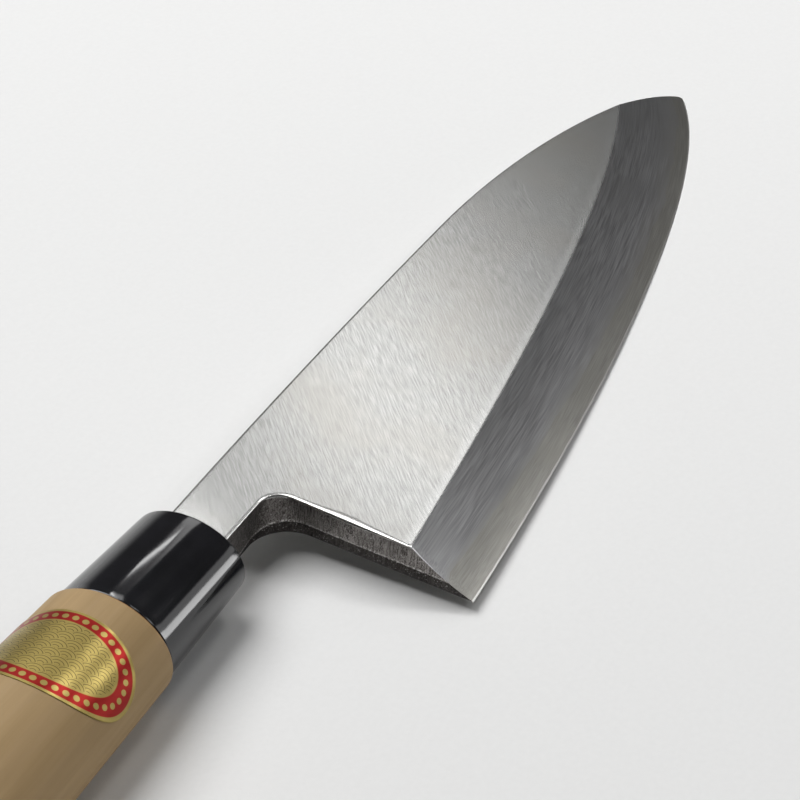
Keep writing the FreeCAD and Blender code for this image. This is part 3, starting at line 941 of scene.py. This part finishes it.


# %% [markdown]
# ## Wood of the handle
# The handle is pale magnolia, sanded and left bare: faint long streaks, short fine pores along the grain,
# and a darker brown rim at the front, next to the ferrule. The streaks are noise stretched along X. Rings
# of growth come from the distance to a pith outside the bar, so they also appear as arcs on the sawn butt.

# %% Wood material
soft_depth = 0.05 * MM
streak_stretch, wander_stretch, pore_stretch = (0.012, 0.28, 0.28), (0.01, 0.06, 0.06), (0.22, 4.2, 4.2)
from_pith, across_only = (0.0, 26.0, -34.0), (0.0, 1.0, 1.0)
ring_gap, ring_wander, half_ring = 2.9, 3.0, 0.5
late_range, late_share, pore_range, pore_share = (0.32, 0.5), (0.0, 0.16), (0.62, 0.74), 0.35
rim_reach, rim_darkening = (-28.2, -27.7), (0.0, 0.85)
wood_dark, wood_light, late_wood = (0.30, 0.20, 0.09, 1), (0.39, 0.265, 0.127, 1), (0.36, 0.25, 0.14, 1)
pore_brown, rim_brown = (0.30, 0.205, 0.115, 1), (0.24, 0.085, 0.018, 1)
wood_roughness, wood_relief, streak_relief = (0.62, 0.5), 0.12, 0.3


def wood_finish():
    """Pale wood: streaks, growth rings and pores mixed into colour, roughness and relief."""
    material, tree, shader = new_material("magnolia_wood", specular_ior_level=0.3)
    place = object_mm(tree)
    stretched = object_mm(tree, stretch=streak_stretch)
    streaks = noise(tree, stretched, detail=5.0, roughness=0.6, distortion=0.3)
    shifted = vector_node(tree, "ADD", place, from_pith)
    spoke = vector_node(tree, "MULTIPLY", shifted, across_only)
    radius = add(tree, "ShaderNodeVectorMath", {0: spoke}, operation="LENGTH").outputs["Value"]
    wander = noise(tree, object_mm(tree, stretch=wander_stretch), detail=3.0)
    wandering = math_node(tree, "MULTIPLY", wander, ring_wander)
    ring_place = math_node(tree, "ADD", math_node(tree, "DIVIDE", radius, ring_gap), wandering)
    late = spread(tree, math_node(tree, "PINGPONG", ring_place, half_ring), late_range, late_share)
    pores = spread(tree, noise(tree, object_mm(tree, stretch=pore_stretch)), pore_range)
    colour = mix_colour(tree, spread(tree, streaks, noise_range), wood_dark, wood_light)
    colour = mix_colour(tree, late, colour, late_wood)
    colour = mix_colour(tree, math_node(tree, "MULTIPLY", pores, pore_share), colour, pore_brown)
    # Darker brown at the front rim, next to the ferrule.
    at_rim = spread(tree, split(tree, place)["X"], rim_reach, rim_darkening)
    colour = mix_colour(tree, at_rim, colour, rim_brown)
    roughness = spread(tree, streaks, noise_range, wood_roughness)
    relief = math_node(tree, "SUBTRACT", math_node(tree, "MULTIPLY", streaks, streak_relief), pores)
    dress(tree, shader, colour, roughness, relief, wood_relief, soft_depth)
    return material


wood = wood_finish()
print("wood:", wood.name, len(wood.node_tree.nodes), "nodes")

# %% Handle
ferrule_length = 27.5
shoulder_x, butt_x, tenon_x, hole_back_x = -27.53, -130.0, -1.6, -96.1
front_half, butt_half, tenon_half = np.array([13.45, 11.25]), np.array([16.8, 13.5]), np.array([9.35, 6.4])
front_ease, butt_ease = 0.9, 1.6
hole_front, hole_back = np.array([5.31, 3.46]), np.array([2.6, 1.6])
butt_shares = (0.0, 0.3, 0.6, 0.85, 1.0)


def grip_half(x):
    """Half width and height of the grip's oval at X, a straight taper."""
    share = (-ferrule_length - np.asarray(x)[..., None]) / (-ferrule_length - butt_x)
    return front_half + (butt_half - front_half) * share


grip_places = np.linspace(butt_x + butt_ease, shoulder_x - front_ease, 40)[1:]
handle_rings = [oval_ring(butt_x, *(share * (grip_half(butt_x) - butt_ease))) for share in butt_shares]
handle_rings += eased_end(butt_x, 1, butt_ease, grip_half)[1:]
handle_rings += [oval_ring(x, *grip_half(x)) for x in grip_places]
handle_rings += eased_end(shoulder_x, -1, front_ease, grip_half)[::-1][1:]
handle_rings += [oval_ring(shoulder_x, *tenon_half), oval_ring(tenon_x, *tenon_half)]
handle_rings += [oval_ring(tenon_x, *hole_front, hole_squareness)]
handle_rings += [oval_ring(hole_back_x, *hole_back, hole_squareness), oval_ring(hole_back_x, 0, 0)]
handle = make_piece("handle_wood", [(np.array(handle_rings), True, 0)], [wood], ["handle"])
shade(handle)

# %% [markdown]
# ## The black ferrule
# The ferrule is an oval sleeve of polished black resin that keeps the wood from splitting. Its deep gloss
# comes from the shader; faint polishing marks in the roughness and a trace of waviness in the relief keep
# its reflections alive.

# %% Ferrule
resin_cloud, polish_length, polish_width = 7.0, 9.0, 0.5


def polished_resin(name, colour, deep, roughness, wave):
    """Polished resin: a body with faint clouds of tone, and roughness that follows fine polishing marks."""
    material, tree, shader = new_material(name, ior=1.6)
    clouds = use_group(tree, clouds_group, object_mm(tree), Size=resin_cloud)["Clouds"]
    marks = use_group(tree, lines_group, object_mm(tree), Length=polish_length, Width=polish_width)["Bands"]
    gloss = spread(tree, marks, noise_range, roughness)
    dress(tree, shader, mix_colour(tree, clouds, colour, deep), gloss, clouds, wave, soft_depth)
    return material


black_tones = (0.010, 0.010, 0.012, 1), (0.006, 0.006, 0.007, 1)
black_resin = polished_resin("black_resin", *black_tones, roughness=(0.08, 0.12), wave=0.05)
ferrule_ease, ferrule_step = 0.5, 0.7
ferrule_front, bore_half = np.array([11.7, 8.75]), np.array([9.4, 6.45])
ferrule_back = front_half - ferrule_step


def sleeve_half(x):
    """Half width and height of the sleeve's oval at X, a straight taper."""
    return ferrule_front + (ferrule_back - ferrule_front) * -x / ferrule_length


sleeve_places = np.linspace(-ferrule_ease, ferrule_ease - ferrule_length, 20)[1:]
sleeve_rings = [oval_ring(0.0, *bore_half)]
sleeve_rings += eased_end(0.0, -1, ferrule_ease, lambda x: ferrule_front)
sleeve_rings += [oval_ring(x, *sleeve_half(x)) for x in sleeve_places]
sleeve_rings += eased_end(-ferrule_length, 1, ferrule_ease, lambda x: ferrule_back)[::-1][1:]
sleeve_rings += [oval_ring(-ferrule_length, *bore_half), oval_ring(0.0, *bore_half)]
sleeve_patch = [(np.array(sleeve_rings), True, 0)]
ferrule = make_piece("ferrule_sleeve", sleeve_patch, [black_resin], ["ferrule"])
shade(ferrule)

# %% [markdown]
# ## The resin seal
# Round the tang the ferrule's mouth is closed with a little amber resin, which sags slightly in the middle.
# Its rings go from the rim over the sag to the tang, down along the tang and back up along the bore.

# %% Seal
amber_tones = (0.26, 0.135, 0.05, 1), (0.15, 0.07, 0.025, 1)
amber_resin = polished_resin("amber_resin", *amber_tones, roughness=(0.2, 0.32), wave=0.2)
seal_back, sag = -1.57, 0.25
sag_outer, sag_outer_squareness, sag_inner, sag_inner_squareness = 0.82, 2.4, 1.25, 5.0
seal_rings = [
    oval_ring(0.0, *tenon_half), oval_ring(-sag, *(tenon_half * sag_outer), sag_outer_squareness),
    oval_ring(-sag, *(hole_front * sag_inner), sag_inner_squareness),
    oval_ring(-sag / 2, *hole_front, hole_squareness), oval_ring(seal_back, *hole_front, hole_squareness),
    oval_ring(seal_back, *tenon_half), oval_ring(0.0, *tenon_half),
]
seal_patch = [(np.array(seal_rings), True, 0)]
seal = make_piece("tang_resin_seal", seal_patch, [amber_resin], ["tang_seal"])
shade(seal)

# %% [markdown]
# ## The foil seal on the handle
# An oval of gold foil on paper is stuck across the handle. It is a disc of rings, bent round the oval wood
# and lifted off it by its thickness. The print is a plain ornament, worked out in flat millimetres before
# bending: a red border with gold beads, and fish-scale waves inside. Each vertex keeps three numbers for
# the material: how far out it lies, its place in its wave, and its distance from the nearest bead.

# %% Print of the label
label_half = np.array([17.2, 9.8])
wave_radius, waves_over, bead_count, bead_ring = 2.3, 5, 38, 0.825


def fish_scales(round_way, along):
    """Place in overlapping circles: radii from the centre of the lowest circle that covers a point."""
    step = wave_radius / 2
    lowest = np.ceil((along - wave_radius) / step)
    place = np.ones_like(along)
    for row in reversed(range(waves_over)):
        number = lowest + row
        shift = np.mod(number, 2) / 2
        centre = (np.round(round_way / (2 * wave_radius) - shift) + shift) * 2 * wave_radius
        distance = np.hypot(round_way - centre, along - number * step) / wave_radius
        place = np.where(distance < 1, distance, place)
    return place


def bead_distance(round_way, along):
    """Millimetres to the nearest of the beads, which sit at even steps round an inner oval."""
    turn = 2 * math.pi * dense
    oval = np.stack([np.cos(turn), np.sin(turn)], 1) * label_half * bead_ring
    run = path_lengths(oval)
    stops = np.linspace(0, run[-1], bead_count, endpoint=False)
    beads = np.stack([np.interp(stops, run, oval[:, i]) for i in range(2)], 1)
    away = np.hypot(round_way[..., None] - beads[:, 0], along[..., None] - beads[:, 1])
    return away.min(-1)


# %% Label material
gold, dull_gold = (0.37, 0.285, 0.085, 1), (0.29, 0.22, 0.06, 1)
red, ink = (0.27, 0.008, 0.006, 1), (0.05, 0.037, 0.015, 1)
lines_per_wave, half_line, ink_line, ink_share = 3.5, 0.5, (0.13, 0.07), (0.0, 0.85)
field_edge, red_inner, red_outer, bead_edge = (0.68, 0.67), (0.705, 0.715), (0.945, 0.935), (0.55, 0.62)
foil_cloud, foil_roughness, foil_relief = 4.0, (0.30, 0.40), 0.2


def foil_finish():
    """Printed foil: gold, with a red border, gold beads on it and thin dark wave lines inside."""
    material, tree, shader = new_material("printed_foil", metallic=0.75)
    outward, wave, from_bead = split(tree, stored(tree, "print")["Vector"])
    clouds = use_group(tree, clouds_group, object_mm(tree), Size=foil_cloud)["Clouds"]
    line = math_node(tree, "PINGPONG", math_node(tree, "MULTIPLY", wave, lines_per_wave), half_line)
    inside = spread(tree, outward, field_edge)
    inked = math_node(tree, "MULTIPLY", spread(tree, line, ink_line, ink_share), inside)
    field = mix_colour(tree, inked, mix_colour(tree, clouds, gold, dull_gold), ink)
    outer, inner = spread(tree, outward, red_outer), spread(tree, outward, red_inner)
    between_beads = spread(tree, from_bead, bead_edge)
    border = math_node(tree, "MULTIPLY", math_node(tree, "MULTIPLY", outer, inner), between_beads)
    gloss = spread(tree, clouds, whole, foil_roughness)
    dress(tree, shader, mix_colour(tree, border, field, red), gloss, clouds, foil_relief, soft_depth)
    return material


# %% Label
label_x, label_gap, label_thickness = -44.0, 0.03, 0.12
label_top = label_gap + label_thickness
under_rings, top_rings, rim_rise, rim_share, top_share = 12, 84, 0.7, 0.995, 0.99
label_around = np.linspace(0, 2 * math.pi, 480, endpoint=False)
bend_radius = grip_half(label_x).mean()


def label_rings(share, proud):
    """Rings of the disc, bent round the handle; share is 0 in the middle and 1 at the rim."""
    share, proud = np.asarray(share)[:, None], np.asarray(proud)[:, None]
    round_way = label_half[0] * share * np.cos(label_around)
    along = label_half[1] * share * np.sin(label_around)
    angle = round_way / bend_radius
    half = grip_half(label_x + along) + proud[..., None]
    return np.stack([label_x + along, half[..., 0] * np.sin(angle), half[..., 1] * np.cos(angle)], -1)


label_skin = np.concatenate([
    label_rings(np.linspace(0, 1, under_rings), np.full(under_rings, label_gap)),
    label_rings([1.0, rim_share], [label_gap + label_thickness * rim_rise, label_top]),
    label_rings(np.linspace(1, 0, top_rings) * top_share, np.full(top_rings, label_top)),
])
label = make_piece("foil_label", [(label_skin, True, 0)], [foil_finish()], ["handle_label"])
shade(label)
label_place = working_points(label)
label_along = label_place[:, 0] - label_x
level, upright = (label_place[:, 1:] / grip_half(label_place[:, 0])).T
label_round = np.arctan2(level, upright) * bend_radius
outward = np.hypot(label_round / label_half[0], label_along / label_half[1])
drawn = [outward, fish_scales(label_round, label_along), bead_distance(label_round, label_along)]
add_attribute(label, "print", np.stack(drawn, 1))

# %% [markdown]
# ## Floor
# A knife laid on its back balances on the belly of its edge, where it touches near the tip, and on the
# underside of the wood. The floor is the plane through the edge's tangent there, swung up until it meets
# the wood, so the shadow starts where the real one does. Far from the knife the paper fades into the
# room's pale tone, for the camera and for what mirrors it, so that no line shows where the floor ends.

# %% Floor under the edge and the wood
touch_x, floor_size = 177.5, 12.0
touch = np.array([touch_x, edge_y(touch_x), back_z])
edge_slope = np.interp(touch_x, edge_line[:, 0], np.gradient(edge_line[:, 1], edge_line[:, 0]))
along_edge = np.array([1.0, edge_slope, 0.0]) / math.hypot(1.0, edge_slope)
to_spine = np.array([-along_edge[1], along_edge[0], 0.0])
wood_places = working_points(handle) - touch
swing = np.arctan2(wood_places[:, 2], wood_places @ to_spine).min()
floor_up = math.cos(swing) * np.array([0.0, 0.0, 1.0]) - math.sin(swing) * to_spine
floor_way = np.cross(floor_up, along_edge)
signs = ((-1, -1), (1, -1), (1, 1), (-1, 1))
corners = [to_row(touch) + floor_size * (a * along_edge + b * floor_way) for a, b in signs]
floor_mesh = bpy.data.meshes.new("floor")
floor_mesh.from_pydata([tuple(c) for c in corners], [], [(0, 1, 2, 3)])
floor = bpy.data.objects.new("floor", floor_mesh)
bpy.context.scene.collection.objects.link(floor)
lowest = [((working_points(piece) - touch) @ floor_up).min() for piece in (blade_iron, blade_steel, handle)]
print(f"floor leans {math.degrees(math.acos(floor_up[2])):.2f} degrees, clearances {np.round(lowest, 3)}")

# %% Paper of the floor
floor_middle, floor_fade = np.array([36.0, -16.0, -13.0]), (0.28, 0.5)
pale_room, paper_grain = (0.78, 0.78, 0.78, 1), 900.0
paper_dark, paper_light = (0.74, 0.74, 0.735, 1), (0.78, 0.78, 0.775, 1)
paper, tree, shader = new_material("pale_paper", roughness=0.85, specular_ior_level=0.2)
place = add(tree, "ShaderNodeTexCoord").outputs["Object"]
speckle = noise(tree, place, paper_grain, detail=3.0)
feed(tree, shader.inputs["Base Color"], mix_colour(tree, speckle, paper_dark, paper_light))
ends = {0: place, 1: tuple(to_row(floor_middle))}
from_knife = add(tree, "ShaderNodeVectorMath", ends, operation="DISTANCE").outputs["Value"]
far = spread(tree, from_knife, floor_fade)
rays = add(tree, "ShaderNodeLightPath").outputs
mirrored = math_node(tree, "MAXIMUM", rays["Is Glossy Ray"], rays["Is Transmission Ray"])
seen = math_node(tree, "MULTIPLY", far, math_node(tree, "MAXIMUM", rays["Is Camera Ray"], mirrored))
distance_tone = add(tree, "ShaderNodeEmission", {"Color": pale_room}).outputs[0]
faded = add(tree, "ShaderNodeMixShader", {0: seen, 1: shader.outputs[0], 2: distance_tone}).outputs[0]
feed(tree, tree.nodes["Material Output"].inputs["Surface"], faded)
floor_mesh.materials.append(paper)
print("floor paper:", len(tree.nodes), "nodes")

# %% [markdown]
# ## Light and camera
# Steel shows what it mirrors. The flat face mirrors a place behind the knife, so a soft strip stands there,
# turned so that its light is full over the heel and fades to the tip. A tiny strip close by draws the
# narrow light on the ferrule, and two small panels low on the right draw its broad one. The bevel mirrors
# the room higher up on the right, where two dim panels keep it grey. A wide panel overhead lights wood and
# floor. The camera is the one that took the photograph, worked out from the knife's outline.

# %% World
dark_room, room_rise = (0.05, 0.05, 0.05, 1), (0.0, 0.2)
scene = bpy.context.scene
scene.view_settings.view_transform = "Standard"
world = bpy.data.worlds.new("studio")
world.use_nodes = True
scene.world = world
sky = world.node_tree
height = split(sky, add(sky, "ShaderNodeTexCoord").outputs["Generated"])["Z"]
room = mix_colour(sky, spread(sky, height, room_rise), pale_room, dark_room)
feed(sky, sky.nodes["Background"].inputs["Color"], room)
print("world:", world.name, "pale below", room_rise[0], "and dark above", room_rise[1])

# %% Panels
heel_aim, blade_aim, ferrule_aim = (30, -15, 4), (60, -30, 0), (-14, 0, 0)
narrow_light_aim, middle_aim = (-12, 2.5, 9.4), (70, -15, 0)


def panel(name, aim, azimuth, elevation, distance, size, watts, roll=0.0):
    """A soft rectangular lamp that faces a place on the knife from an azimuth and an elevation.

    Azimuth is counted from +X, distance and size are in metres, and roll turns the lamp in its own plane.
    """
    lamp = bpy.data.lights.new(name, "AREA")
    lamp.shape = "RECTANGLE"
    lamp.size, lamp.size_y = size
    lamp.energy = watts
    holder = bpy.data.objects.new(name, lamp)
    turn, rise = math.radians(azimuth), math.radians(elevation)
    away = Vector((math.cos(turn) * math.cos(rise), math.sin(turn) * math.cos(rise), math.sin(rise)))
    holder.location = Vector(to_row(aim)) + away * distance
    holder.rotation_mode = "QUATERNION"
    holder.rotation_quaternion = away.to_track_quat("Z", "Y") @ Quaternion((0, 0, 1), math.radians(roll))
    holder.visible_camera = False
    scene.collection.objects.link(holder)


panel(
    "key_strip", heel_aim, azimuth=22.8, elevation=35.7, distance=1.5,
    size=(0.365, 0.18), watts=0.46, roll=-38.8,
)
panel(
    "ferrule_strip", narrow_light_aim, azimuth=26.7, elevation=36.7, distance=0.11,
    size=(0.018, 0.005), watts=0.0026,
)
panel(
    "overhead_panel", middle_aim, azimuth=80, elevation=58, distance=1.5,
    size=(1.1, 1.1), watts=23.5,
)
panel(
    "right_panel", ferrule_aim, azimuth=-46, elevation=8, distance=0.7,
    size=(0.11, 0.15), watts=0.323,
)
panel(
    "right_soft_panel", ferrule_aim, azimuth=-41, elevation=19, distance=0.7,
    size=(0.16, 0.12), watts=0.07,
)
panel(
    "high_panel", blade_aim, azimuth=-12, elevation=58, distance=1.2,
    size=(0.25, 0.25), watts=1.87,
)
panel(
    "side_panel", blade_aim, azimuth=-46, elevation=43.5, distance=1.2,
    size=(0.25, 0.25), watts=2.18,
)
print("lamps:", [lamp.name for lamp in bpy.data.lights])

# %% Camera
camera_place = np.array([-309.2, -192.5, 317.4])
look = np.array([0.7108, 0.3477, -0.6115])
right_way = np.array([0.4645, -0.8848, 0.0367])
up_way = np.cross(right_way, look)
picture_focal, picture_width, sensor_width = 2618.0, 800.0, 36.0
camera = bpy.data.objects.new("camera", bpy.data.cameras.new("camera"))
camera.data.sensor_width = sensor_width
camera.data.lens = sensor_width * picture_focal / picture_width
camera.data.clip_start, camera.data.clip_end = 0.01, 100.0
axes = Matrix([right_way, up_way / np.linalg.norm(up_way), -look]).transposed()
camera.matrix_world = Matrix.Translation(Vector(to_row(camera_place))) @ axes.to_4x4()
scene.collection.objects.link(camera)
scene.camera = camera
print("camera:", round(camera.data.lens, 1), "mm lens at", to_row(camera_place).round(3))
